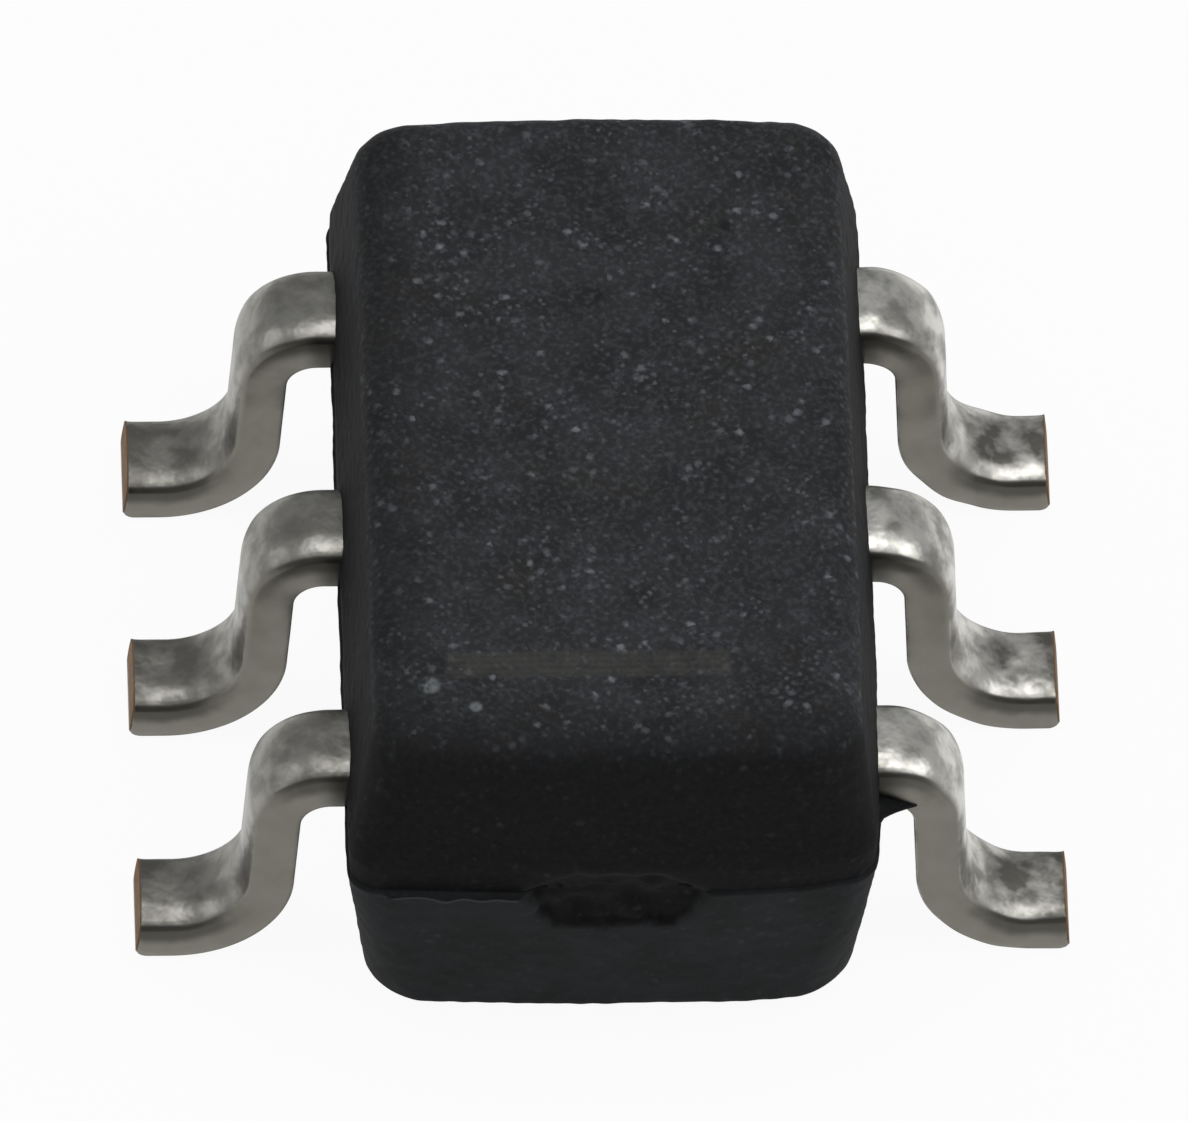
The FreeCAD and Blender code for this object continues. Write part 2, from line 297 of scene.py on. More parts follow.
def half_rings(half, profile, face_radius, overhang, side, cap_rows):
    """Rings and normals of one half, from the parting line to the middle of its face. Side is 1 for the upper
    half and -1 for the lower one, whose ends draw in a little more than its sides. A cap ring is the last
    outline scaled towards the middle."""
    inset, rise, normal = profile
    radius = level_radius(inset, rise, *half, face_radius)
    end_inset = inset * (lower_end_draft_share if side < 0 else 1)
    rings = np.zeros((len(inset), points_around, 3))
    normals = np.zeros_like(rings)
    for row in range(len(inset)):
        half_x = body_width / 2 + overhang - inset[row]
        half_y = body_length / 2 + overhang - end_inset[row]
        outline, outward = rounded_outline(half_x, half_y, radius[row], points_around)
        rings[row, :, :2] = outline
        rings[row, :, 2] = parting_height + side * rise[row]
        normals[row, :, :2] = outward * math.cos(normal[row])
        normals[row, :, 2] = side * math.sin(normal[row])
        rings[row, :, 1] *= 1 - end_crown / half_y * (outline[:, 0] / half_x) ** 2
    scale = np.linspace(1, 0, cap_rows + 1, endpoint=False)[1:]
    cap = rings[-1][None] * np.stack([scale, scale, np.ones_like(scale)], axis=-1)[:, None]
    cap_normals = np.broadcast_to([0.0, 0.0, side], cap.shape)
    return np.concatenate([rings, cap]), np.concatenate([normals, cap_normals])


upper_rings, upper_normals = half_rings(upper_half, upper_profile, top_corner_radius, 0.0, 1, top_cap_rows)
lower_rings, lower_normals = half_rings(lower_half, lower_profile, bottom_corner_radius, parting_ledge, -1,
                                        bottom_cap_rows)
moulding_rings = np.concatenate([lower_rings[::-1], upper_rings])
moulding_normals = np.concatenate([lower_normals[::-1], upper_normals])
print("rings of the moulding:", moulding_rings.shape[:2])

# %% [markdown]
# ### Gate scar
#
# The compound flowed in at the middle of the near end. When its runner was broken off, it left a recess with
# six sloping sides. A point is inside such an outline by its smallest distance to the six sides, and the
# recess at that point is as deep as the slope of its sides allows, up to its floor.

# %% Cut the gate scar
gate_parting_width = 0.44 * MM
gate_lower_width = 0.31 * MM
gate_upper_width = 0.22 * MM
gate_drop = 0.15 * MM
gate_rise = 0.07 * MM
gate_depth = 0.035 * MM
gate_side_width = 0.03 * MM
gate_shallow_share = 0.6


def inside_distance(x, z, corners):
    """Distance of (x, z) to the nearest side of a convex outline, positive inside. The distance to one side
    is the cross product of the side's direction with the way from its start to the point."""
    distances = []
    for (start_x, start_z), (end_x, end_z) in zip(corners, corners[1:] + corners[:1]):
        length = math.hypot(end_x - start_x, end_z - start_z)
        along_x = (end_x - start_x) / length
        along_z = (end_z - start_z) / length
        distances.append(along_x * (z - start_z) - along_z * (x - start_x))
    return np.min(distances, axis=0)


def cut_gate_scar(rings):
    """Push the near wall in to the recess: the deeper of the wall and the recess holds, point by point. The
    depth grows evenly over the sloping sides, and above the parting line it shrinks. The share of the way
    over the sides comes back, for the finish."""
    corners = [(-gate_parting_width / 2, 0.0), (-gate_lower_width / 2, -gate_drop),
               (gate_lower_width / 2, -gate_drop), (gate_parting_width / 2, 0.0),
               (gate_upper_width / 2, gate_rise), (-gate_upper_width / 2, gate_rise)]
    ragged = 4 * MICRON * unevenness(rings, 0.06 * MM, seed=11)
    inside = inside_distance(rings[..., 0], rings[..., 2] - parting_height, corners) + ragged
    broken = 0.8 + 0.12 * unevenness(rings, 0.09 * MM, seed=12)
    above = np.clip((rings[..., 2] - parting_height) / gate_rise, 0, 1)
    sloping = inside * gate_depth / gate_side_width
    depth = np.clip(sloping, -gate_depth, gate_depth * broken) * (1 - gate_shallow_share * above)
    near = rings[..., 1] < -body_length / 4
    floor = depth - body_length / 2
    rings[..., 1] = np.where(near, np.maximum(rings[..., 1], floor), rings[..., 1])
    return np.where(near, np.clip(inside / gate_side_width, 0, 1), 0)


scar = cut_gate_scar(moulding_rings)
print(f"points in the scar: {int((scar > 0).sum())}")

# %% [markdown]
# ### Flash
#
# Where lead 1 leaves the moulding, a thin web of compound lies in the parting plane, in the corner between
# the wall and the near side of the lead, and narrows outwards. Between the near left corner and the gate, a
# lip of flash as thin as foil stands out along the parting line, and a highlight is painted on its edge.

# %% Push out the flash
flash_reach = 0.09 * MM
flash_width = 0.05 * MM
flash_height = 0.03 * MM
flash_under_lead = 0.03 * MM


def push_out_flash(rings):
    """Move wall points outwards beside the near side of lead 1. The reach falls off linearly with the
    distance from the lead and with the height over the parting line."""
    beside = -(rings[..., 1] + lead_pitch) - lead_width / 2
    rise = rings[..., 2] - parting_height
    share = (1 - np.clip(beside, 0, None) / flash_width) * (1 - rise / flash_height)
    ragged = 0.9 + 0.1 * unevenness(rings, 0.08 * MM, seed=21)
    out = body_width / 2 + flash_reach * np.clip(share * ragged, 0, 1)
    level_with_lead = (rise >= 0) & (rise < flash_height)
    here = (rings[..., 0] > 0) & (beside > -flash_under_lead) & (beside < flash_width) & level_with_lead
    rings[..., 0] = np.where(here, np.maximum(rings[..., 0], out), rings[..., 0])


lip_left = -0.545 * MM
lip_right = -0.2 * MM
lip_reach = 0.024 * MM
lip_fade = 0.03 * MM


def push_out_lip(rings):
    """Move the parting row of the lower half outwards along the near wall. The reach fades out over a short
    way at both ends of the lip. The share of the full reach comes back, for the finish."""
    x, y, z = rings[..., 0], rings[..., 1], rings[..., 2]
    share = np.clip((x - lip_left) / lip_fade, 0, 1) * np.clip((lip_right - x) / lip_fade, 0, 1)
    on_row = np.abs(z - parting_height) < MICRON
    outermost = y < -body_length / 2 + 2 * end_crown
    share = np.where(on_row & outermost, share, 0)
    share[len(lower_rings):] = 0
    ragged = 0.85 + 0.15 * unevenness(rings, 0.07 * MM, seed=22)
    rings[..., 1] -= share * ragged * lip_reach
    return share


push_out_flash(moulding_rings)
lip = push_out_lip(moulding_rings)

# %% [markdown]
# ### Surface of the moulding
#
# The near right corner is blunter than the other three, because there the mould is worn. The last move is the
# roughness that is big enough to be shape. Finer grain is left to the material. A laser has burned one bar
# across the top near the pin 1 end: it is a groove of two thousandths of a millimetre, and its material is
# paler and a little browner.

# %% Roughen the moulding and make its piece
bar_left = -0.381 * MM
bar_right = 0.274 * MM
bar_far = -0.643 * MM
bar_near = -0.714 * MM
bar_groove = 2 * MICRON
blunt_depth = 0.018 * MM
blunt_reach = 0.15 * MM
coarse_roughness = 0.8 * MICRON
fine_roughness = 0.5 * MICRON


def blunt_near_right_corner(rings):
    """Move points in along the diagonal, by an amount that falls off from the upright edge of the corner as a
    bell curve of the distance seen from above."""
    from_x = rings[..., 0] - body_width / 2
    from_y = rings[..., 1] + body_length / 2
    move = blunt_depth * np.exp(-(from_x ** 2 + from_y ** 2) / blunt_reach ** 2)
    rings[..., 0] -= move
    rings[..., 1] += move


def roughen_moulding(rings, normals):
    """Move each point along its normal by coarse and fine unevenness, and sink the bar on the top face. The
    under face, which stood on polished steel, stays flat."""
    coarse = coarse_roughness * unevenness(rings, 0.3 * MM, seed=31)
    fine = fine_roughness * unevenness(rings, 0.05 * MM, seed=32)
    on_top = normals[..., 2] > 0.999
    underneath = normals[..., 2] < -0.999
    in_bar = ((rings[..., 0] > bar_left) & (rings[..., 0] < bar_right)
              & (rings[..., 1] > bar_near) & (rings[..., 1] < bar_far))
    groove = np.where(on_top & in_bar, bar_groove, 0)
    rough = np.where(underneath, 0, coarse + fine)
    return rings + normals * (rough - groove)[..., None]


blunt_near_right_corner(moulding_rings)
moulding_rings = roughen_moulding(moulding_rings, moulding_normals)
moulding_rings[..., 0] += mould_shift
bottom_pole = moulding_rings[0].mean(axis=0)
top_pole = moulding_rings[-1].mean(axis=0)
moulding_mesh = ring_mesh("moulding", moulding_rings, bottom_pole, top_pole)
carry(moulding_mesh, "scar", np.append(scar, [0, 0]))
carry(moulding_mesh, "lip", np.append(lip, [0, 0]))
moulding = add_piece(moulding_mesh, "mould_compound", "moulded_body")

# %% [markdown]
# ## The leads
#
# Each lead is one strip of copper, stamped with its finger and bent twice. So its mesh is one cross-section
# carried along its middle line, and only the width of the strip changes on the way. The middle line is
# straight runs and arcs, and following it in small steps gives place and heading at each step.

# %% Middle line of a strip
step_length = 0.008 * MM


def follow(start_x, start_z, moves):
    """Places (x, z), headings and travelled distances along straight runs (length, 0) and bends
    (radius, turn). A bend's heading grows evenly with distance, and each place is the last one plus the step
    times the direction (cosine, sine) of the heading halfway along the step."""
    headings = [np.zeros(1)]
    steps = [np.zeros(1)]
    heading = 0.0
    for size, turn in moves:
        length = size if turn == 0 else size * abs(turn)
        count = max(2, math.ceil(length / step_length))
        headings.append(heading + turn * np.arange(1, count + 1) / count)
        steps.append(np.full(count, length / count))
        heading += turn
    heading = np.concatenate(headings)
    step = np.concatenate(steps)
    middle = heading.copy()
    middle[1:] = (heading[1:] + heading[:-1]) / 2
    turned = np.diff(heading, prepend=0.0) / 2
    chord = step * np.sinc(turned / math.pi)
    x = start_x + np.cumsum(chord * np.cos(middle))
    z = start_z + np.cumsum(chord * np.sin(middle))
    return np.stack([x, z], axis=-1), heading, np.cumsum(step)


# %% [markdown]
# The strip was stamped from sheet, so its sides aren't square. The punch first drags the edge of the top
# face down over a broad roll, then burnishes the upper part of the side, and the lower part tears and stays
# pale. The burnished part is painted dark, as a reflection of dark surroundings. One side is four arcs: a
# tight edge at the sole, the nearly upright side, a tight edge above it, and the broad roll, which catches
# the light as a soft streak. The painted dark reflection fades where the strip turns down and the side
# faces sideways. The section widens and narrows along the strip, so each point is a share of the half width,
# drawn in by a fixed inset.

# %% Cross-section of a strip
roll_radius = 0.16 * MM
roll_start = math.radians(66)
top_edge_radius = 0.022 * MM
sole_edge_radius = 0.007 * MM
burnished_lean = math.radians(10)
torn_lean = math.radians(12)
face_points = 16


def stamped_side():
    """Inset and height of one side, from the sole up to the top face. Each arc adds its radius times the
    change of (cosine, sine) of the direction that the surface faces, and the side's own radius is what fills
    the thickness."""
    edges = (sole_edge_radius * (1 - math.sin(torn_lean)) + roll_radius * (1 - math.sin(roll_start))
             + top_edge_radius * (math.sin(roll_start) - math.sin(burnished_lean)))
    side_radius = (lead_thickness - edges) / (math.sin(burnished_lean) + math.sin(torn_lean))
    quarter = math.pi / 2
    outline = np.array([[0.0, -lead_thickness / 2]])
    for radius, start, finish, count in [(sole_edge_radius, -quarter, -torn_lean, 6),
                                         (side_radius, -torn_lean, burnished_lean, 18),
                                         (top_edge_radius, burnished_lean, roll_start, 8),
                                         (roll_radius, roll_start, quarter, 9)]:
        facing = np.linspace(start, finish, count)
        turn = np.stack([np.cos(facing), np.sin(facing)], axis=-1)
        outline = np.concatenate([outline[:-1], outline[-1] + radius * (turn - turn[0])])
    return outline[:, 0] - outline[:, 0].max(), outline[:, 1]


def section_parts():
    """The whole section, counterclockwise: for each point its share of the half width, its inset and its
    height, and how far it is burnished and painted dark as a reflection, on the stamped side, on the under
    face, and on the flat top. The level is the height as a share of the thickness, and each of the four fades
    over a short stretch of it."""
    inset, height = stamped_side()
    across = np.linspace(1, -1, face_points + 2)[1:-1]
    share = np.concatenate([np.ones_like(inset), across, -np.ones_like(inset), -across])
    insets, heights = [np.concatenate([side, np.full(face_points, side[-1]),
                                       side[::-1], np.full(face_points, side[0])])
                       for side in (inset, height)]
    level = heights / lead_thickness + 0.5
    burnish_reflection = np.clip((level - 0.36) / 0.3, 0, 1) * np.clip((0.90 - level) / 0.05, 0, 1)
    stamped = np.clip((0.92 - level) / 0.1, 0, 1) * np.clip(level / 0.05, 0, 1)
    under = np.clip(1 - level / 0.08, 0, 1)
    flat = np.clip((level - 0.96) / 0.035, 0, 1)
    return share, insets, heights, burnish_reflection, stamped, under, flat


def strip_rings(centre, heading, near_edge, far_edge):
    """Rings of the strip: across runs between the near and far edge along Y, and height is square to the
    heading in the side view."""
    share, inset, height, burnish_reflection, stamped, under, flat = section_parts()
    middle = (near_edge + far_edge) / 2
    half = (far_edge - near_edge) / 2
    rings = np.zeros((len(heading), len(share), 3))
    rings[..., 0] = centre[:, :1] - np.sin(heading)[:, None] * height
    rings[..., 1] = middle[:, None] + (half[:, None] + inset) * share
    rings[..., 2] = centre[:, 1:] + np.cos(heading)[:, None] * height
    return rings, burnish_reflection, stamped, under, flat


# %% [markdown]
# The widths of the strip follow the stamping. A corner lead is wide on its outer side where it is locked
# into the epoxy, a middle lead has a T-shaped head, and the ground lead starts as the wide pad under the
# die. Each change of width is square, so there are two rings there, a thousandth of a millimetre apart, one
# with each width.

# %% Stamped outlines
anchor_start = body_width / 2 - 0.12 * MM
middle_anchor_length = 0.12 * MM
middle_anchor_width = 0.3 * MM
corner_anchor_width = 0.06 * MM
corner_finger_tip = 0.14 * MM
pad_gap = 0.11 * MM
pad_downset = 0.1 * MM
downset_angle = math.radians(45)
downset_bend_radius = 0.04 * MM
downset_clearance = 0.01 * MM
ground_anchor_cover = 0.065 * MM
bend_start = body_width / 2 + shoulder_length


def gull_wing():
    """Moves from the shoulder to the tip: bend down, riser, bend back level, foot. The riser is as long as
    the height that the two bends leave."""
    upper = upper_bend_radius + lead_thickness / 2
    lower = lower_bend_radius + lead_thickness / 2
    drop = (upper + lower) * (1 - math.cos(riser_angle))
    riser = (parting_height - drop) / math.sin(riser_angle)
    return [(upper, -riser_angle), (riser, 0), (lower, riser_angle), (foot_flat, 0)]


def strip_widths(travel, changes):
    """Near and far edge at each distance, from a list of (distance, near, far), each of which holds until the
    next."""
    starts = np.array([change[0] for change in changes])
    index = np.clip(np.searchsorted(starts, travel, side="right") - 1, 0, None)
    edges = np.array([change[1:] for change in changes])
    return edges[index, 0], edges[index, 1]


# %% [markdown]
# The tip was sheared off from below: its end leans back by five degrees, its lower edge is rolled round,
# and the bare copper shows where the cut passed through the plating. Rings that run on over the end face and
# shrink to its middle close the strip, and an attribute marks them as cut, for the material.

# %% Sheared tip
tip_roll = 0.028 * MM
hollow_from_tip = 0.15 * MM
hollow_length = 0.06 * MM
worn_tip_length = 0.06 * MM
worn_tip_strength = 1.1
tip_roll_share = 0.96
cap_shares = np.array([0.97, 0.85, 0.6, 0.3])


def shear_tip(rings, travel):
    """Lean the last rings back by the tangent of the shear angle times the height above the sole, more and
    more over the flat of the foot, and lift the sole along a quarter circle over the last of it."""
    left = travel[-1] - travel
    lean = np.clip(1 - left / foot_flat, 0, 1)[:, None]
    rings[..., 0] -= lean * math.tan(tip_shear) * rings[..., 2]
    into_roll = np.clip(1 - left / tip_roll, 0, 1)[:, None]
    lift = tip_roll * (1 - np.sqrt(1 - tip_roll_share * into_roll ** 2))
    below = np.clip(1 - rings[..., 2] / lead_thickness, 0, 1)
    rings[..., 2] += np.where(left[:, None] < tip_roll, lift * below, 0)


def close_ends(rings):
    """Rings on both end faces, each the end ring drawn towards its own middle, and the two middles."""
    first_middle = rings[0].mean(axis=0)
    last_middle = rings[-1].mean(axis=0)
    shrink = cap_shares[:, None, None]
    first_cap = first_middle + (rings[0] - first_middle) * shrink[::-1]
    last_cap = last_middle + (rings[-1] - last_middle) * shrink
    return np.concatenate([first_cap, rings, last_cap]), first_middle, last_middle


# %% [markdown]
# All of that together makes one lead. The values that its finish needs, such as where the burnished side is
# painted dark as a reflection or the end is cut, go with the mesh point by point.

# %% Make one lead
lead_waviness = 1.0 * MICRON


def split_at_changes(centre, heading, travel, changes):
    """The same middle line with two places half a thousandth of a millimetre before and after each change of
    width, found by straight-line interpolation, and no other place that near."""
    stops = np.array([change[0] for change in changes[1:]])
    clear = np.abs(travel[:, None] - stops).min(axis=1) > MICRON
    marks = np.sort(np.concatenate([travel[clear], stops - MICRON / 2, stops + MICRON / 2]))
    x, z = (np.interp(marks, travel, centre[:, axis]) for axis in (0, 1))
    return np.stack([x, z], axis=-1), np.interp(marks, travel, heading), marks


def make_lead(number, node, start_x, start_z, moves, changes, row, turned):
    """One lead as a piece: strip, tip, slight waviness, place in its row, and a half turn for the left side.
    The hollow falls off as a bell curve of the distance from its middle, and so does the wear from the
    tip."""
    centre, heading, travel = follow(start_x, start_z, moves + gull_wing())
    centre, heading, travel = split_at_changes(centre, heading, travel, changes)
    near, far = strip_widths(travel, changes)
    rings, burnish_reflection_share, stamped_share, under_share, flat_share = strip_rings(centre, heading, near, far)
    # The painted dark reflection of the burnished side fades where the strip turns down.
    burnish_reflection = burnish_reflection_share * np.cos(heading)[:, None] ** 2
    stamped = np.broadcast_to(stamped_share, burnish_reflection.shape)
    under = np.broadcast_to(under_share, burnish_reflection.shape)
    from_tip = (travel[-1] - travel)[:, None]
    hollow = np.exp(-((from_tip - hollow_from_tip) / hollow_length) ** 2) * flat_share
    hollow = hollow + worn_tip_strength * np.exp(-(from_tip / worn_tip_length) ** 2) * (1 - stamped_share)
    shear_tip(rings, travel)
    outside = np.clip((rings[..., 0] - body_width / 2) / (0.05 * MM), 0, 1)
    above_sole = np.clip(rings[..., 2] / (0.02 * MM), 0, 1)
    wave = lead_waviness * unevenness(rings, 0.16 * MM, seed=40 + number) * outside * above_sole
    rings[..., 2] += wave
    rings[..., 1] += wave
    rings[..., 1] += row * lead_pitch
    if turned:
        rings[..., :2] *= -1
    rings, first_middle, last_middle = close_ends(rings)
    mesh = ring_mesh(f"lead_{number}_plated", rings, first_middle, last_middle)
    around = rings.shape[1]
    cut = np.zeros(len(mesh.vertices))
    cut[-2 - (len(cap_shares) + 1) * around:] = 1
    cut[-2] = 0
    carry(mesh, "cut", cut)
    ends = np.zeros((len(cap_shares), around))
    for name, values in [("burnish_reflection", burnish_reflection), ("stamped", stamped), ("hollow", hollow), ("under", under)]:
        carry(mesh, name, np.append(np.concatenate([ends, values, ends]), [0, 0]))
    print(f"lead {number}: {travel[-1] / MM:.2f} mm of strip from its inner end to its tip")
    return add_piece(mesh, "plated_lead", node)


# %% [markdown]
# Six leads now differ only in their lists of widths and in their rows. The left side of the package is the
# right side turned by half a turn, apart from the pad, which only lead 2 has.

# %% All six leads
half_lead = lead_width / 2
level = parting_height + lead_thickness / 2


def corner_strip(number, row, turned):
    """A corner lead, whose anchor is wider on the side that faces the end of the moulding."""
    near = -half_lead - (corner_anchor_width if row < 0 else 0)
    far = half_lead + (corner_anchor_width if row > 0 else 0)
    changes = [(0.0, near, far), (anchor_start - corner_finger_tip, -half_lead, half_lead)]
    moves = [(bend_start - corner_finger_tip, 0)]
    return make_lead(number, f"lead_{number}", corner_finger_tip, level, moves, changes, row, turned)


def middle_strip(number):
    """The middle lead of the left side, with its T-shaped head."""
    half_head = middle_anchor_width / 2
    tip = anchor_start - middle_anchor_length
    changes = [(0.0, -half_head, half_head), (middle_anchor_length, -half_lead, half_lead)]
    return make_lead(number, f"lead_{number}", tip, level, [(bend_start - tip, 0)], changes, 0, True)


def ground_strip(number):
    """The ground lead: the pad, lower by the downset, then the two bends up to the level of the leads, the
    anchor and the finger. The ramp between the bends is as long as the height that they leave."""
    half_head = middle_anchor_width / 2
    half_pad = lead_pitch - half_lead - pad_gap
    pad_edge = anchor_start - middle_anchor_length - pad_gap
    radius = downset_bend_radius + lead_thickness / 2
    ramp = (pad_downset - 2 * radius * (1 - math.cos(downset_angle))) / math.sin(downset_angle)
    bends = radius * downset_angle
    level_reach = 2 * radius * math.sin(downset_angle) + ramp * math.cos(downset_angle)
    level_start = pad_edge + downset_clearance + level_reach
    moves = [(2 * pad_edge + downset_clearance, 0), (radius, downset_angle), (ramp, 0),
             (radius, -downset_angle), (bend_start - level_start, 0)]
    head_start = 2 * pad_edge + downset_clearance + 2 * bends + ramp
    head_end = head_start + body_width / 2 - ground_anchor_cover - level_start
    changes = [(0.0, -half_pad, half_pad), (2 * pad_edge, -half_lead, half_lead),
               (head_start, -half_head, half_head), (head_end, -half_lead, half_lead)]
    return make_lead(number, "lead_2_die_pad", -pad_edge, level - pad_downset, moves, changes, 0, False)


leads = [corner_strip(1, -1, False), ground_strip(2), corner_strip(3, 1, False),
         corner_strip(4, -1, True), middle_strip(5), corner_strip(6, 1, True)]

# %% [markdown]
# ## A small language for materials
#
# A material is a graph of nodes, but its formulas read better as formulas. One class wraps an output of a
# node, and Python's own operators on it add the Math nodes. A second class is the material being written: it
# adds any other node by its type, with its settings first and then the values or links of its sockets.

# %% Sockets with arithmetic
pattern_tilt = (0.6, 0.4, 0.9)


class Varying:
    """A number that varies over the surface."""

    def __init__(self, finish, output):
        self.finish = finish
        self.output = output

    def __add__(self, other):
        return self.finish.math("ADD", self, other)

    def __radd__(self, other):
        return self.finish.math("ADD", other, self)

    def __sub__(self, other):
        return self.finish.math("SUBTRACT", self, other)

    def __rsub__(self, other):
        return self.finish.math("SUBTRACT", other, self)

    def __mul__(self, other):
        return self.finish.math("MULTIPLY", self, other)

    def __rmul__(self, other):
        return self.finish.math("MULTIPLY", other, self)


class Finish:
    """A material being written, with its nodes and the place on the object that its textures read. Patterns
    read the place turned by a slanted rotation, because their own grid would show on a level face."""

    def __init__(self, name, **shader_values):
        self.material = bpy.data.materials.new(name)
        self.material.use_nodes = True
        self.tree = self.material.node_tree
        self.shader = self.tree.nodes["Principled BSDF"]
        self.shade(**shader_values)
        self.place = self.node("ShaderNodeTexCoord", output="Object")
        self.tilted = self.node("ShaderNodeMapping",
                                inputs={"Vector": self.place, "Rotation": pattern_tilt})

    def feed(self, socket, value):
        """Link a varying value to a socket, or set a plain one on it."""
        if isinstance(value, Varying):
            self.tree.links.new(value.output, socket)
        else:
            socket.default_value = value

    def shade(self, **values):
        """Feed sockets of the shader by their names, with an underscore for each space."""
        for name, value in values.items():
            self.feed(self.shader.inputs[name.replace("_", " ")], value)

    def node(self, kind, output=0, settings=None, inputs=None):
        """Add one node: its settings first, then the values or links of its inputs."""
        made = self.tree.nodes.new(kind)
        for name, value in (settings or {}).items():
            setattr(made, name, value)
        for name, value in (inputs or {}).items():
            self.feed(made.inputs[name], value)
        return Varying(self, made.outputs[output])

    def math(self, operation, *values):
        """One Math node on numbers and varying numbers."""
        return self.node("ShaderNodeMath", settings={"operation": operation},
                         inputs=dict(enumerate(values)))

    def axis(self, name):
        """One coordinate of the place on the object, in metres."""
        return self.node("ShaderNodeSeparateXYZ", output=name, inputs={"Vector": self.place})

    def mark(self, name):
        """A value that the mesh carries in the attribute of this name."""
        return self.node("ShaderNodeAttribute", output="Fac", settings={"attribute_name": name})

    def noise(self, size, detail=2.0, roughness=0.5):
        """Cloudy noise from 0 to 1 whose lumps are about as wide as the size."""
        return self.node("ShaderNodeTexNoise", inputs={"Vector": self.tilted, "Scale": 1 / size,
                                                       "Detail": detail, "Roughness": roughness})

    def ramp(self, value, low, high):
        """0 up to low, 1 from high on, and a smooth step between them."""
        return self.node("ShaderNodeMapRange", settings={"interpolation_type": "SMOOTHSTEP"},
                         inputs={"Value": value, "From Min": low, "From Max": high})

    def blend(self, factor, first, second):
        """First colour where the factor is 0, second where it is 1."""
        return self.node("ShaderNodeMix", output=2, settings={"data_type": "RGBA"},
                         inputs={0: factor, 6: first, 7: second})

    def emboss(self, height):
        """Relief in metres on the shader's normal."""
        bump = self.node("ShaderNodeBump", output="Normal", inputs={"Height": height, "Distance": 1.0})
        self.shade(Normal=bump)


def paint(piece, finish):
    """Give a piece one material."""
    piece.data.materials.clear()
    piece.data.materials.append(finish.material)


# %% [markdown]
# ### Moulding compound
#
# The black epoxy is mostly powdered silica, so its rough top face shows small soft pale grains, with painted
# glints among them, and a few pits. The walls above the parting line are painted dark as shade, the walls
# below it are painted paler as light from the floor, and the near and left edges of the top face get painted
# shade too. Space is divided into random cells, and a grain is a soft dot in the middle of a cell. Only some
# cells have one, and a wider noise gathers them in swarms.

# %% Helpers of the moulding's finish
def patch(finish, low_x, high_x, low_y, high_y, soft):
    """1 inside an upright rectangle seen from above, falling to 0 over a soft margin."""
    x, y = finish.axis("X"), finish.axis("Y")
    return (finish.ramp(x, low_x - soft, low_x + soft) * finish.ramp(x, high_x + soft, high_x - soft)
            * finish.ramp(y, low_y - soft, low_y + soft) * finish.ramp(y, high_y + soft, high_y - soft))


def speck(finish, x, y, size):
    """1 in a round spot seen from above, from the distance squared to its middle."""
    from_x, from_y = finish.axis("X") - x, finish.axis("Y") - y
    return finish.ramp(from_x * from_x + from_y * from_y, size ** 2, 0.1 * size ** 2)


def dots(finish, size, low, high):
    """Soft round dots, one in the middle of a cell. Each cell has a random level, and the dot in it is the
    stronger the further that level is on the way from low to high."""
    cells = {"Vector": finish.tilted, "Scale": 1 / size}
    distance = finish.node("ShaderNodeTexVoronoi", output="Distance", inputs=cells)
    level = finish.node("ShaderNodeTexVoronoi", output="Color", inputs=cells)
    ragged = distance + (finish.noise(0.5 * size, detail=2.0) - 0.5) * 0.8
    return finish.ramp(ragged, 0.55, 0.05) * finish.ramp(level, low, high)


def flecks_and_glints_of(finish):
    """Strong grains in swarms, and a haze of small faint ones: pale filler grains with painted glints among
    them.
    """
    swarm = finish.ramp(finish.noise(0.11 * MM, detail=2.0), 0.36, 0.62)
    strong = dots(finish, 0.027 * MM, 0.62, 0.95)
    small = dots(finish, 0.016 * MM, 0.45, 0.85)
    haze = finish.ramp(finish.noise(0.014 * MM, detail=2.0), 0.42, 0.72)
    return strong * (0.3 + swarm * 0.7) + small * (0.16 + swarm * 0.24) + haze * 0.13


# %% [markdown]
# Specks of dust and of stray compound lie on the top face. The photograph shows two of them, near the laser
# bar.

# %% Finish of the moulding
specks_on_top = [(-0.420 * MM, -0.739 * MM, 0.030 * MM), (-0.315 * MM, -0.802 * MM, 0.019 * MM)]
face_inset = upper_profile[0][-1]
face_near = -body_length / 2 + face_inset
face_left = mould_shift - body_width / 2 + face_inset
hatch_pitch = 0.018 * MM
top_colours = (0.0152, 0.0157, 0.0170, 1), (0.0255, 0.0267, 0.0292, 1)
brown_top_colour = (0.0225, 0.0213, 0.0190, 1)
shaded_wall_colours = (0.0020, 0.0021, 0.0024, 1), (0.0095, 0.0097, 0.0105, 1)
floor_lit_lower_wall_colours = (0.0135, 0.0140, 0.0150, 1), (0.0200, 0.0210, 0.0225, 1)
shaded_scar_colours = (0.0025, 0.0025, 0.0028, 1), (0.0065, 0.0066, 0.0070, 1)
lip_highlight_colour = (0.085, 0.092, 0.095, 1)
pit_colour = (0.006, 0.006, 0.0055, 1)
fleck_and_glint_colour = (0.150, 0.158, 0.178, 1)
burned_colour = (0.050, 0.048, 0.043, 1)
speck_colour = (0.15, 0.165, 0.17, 1)


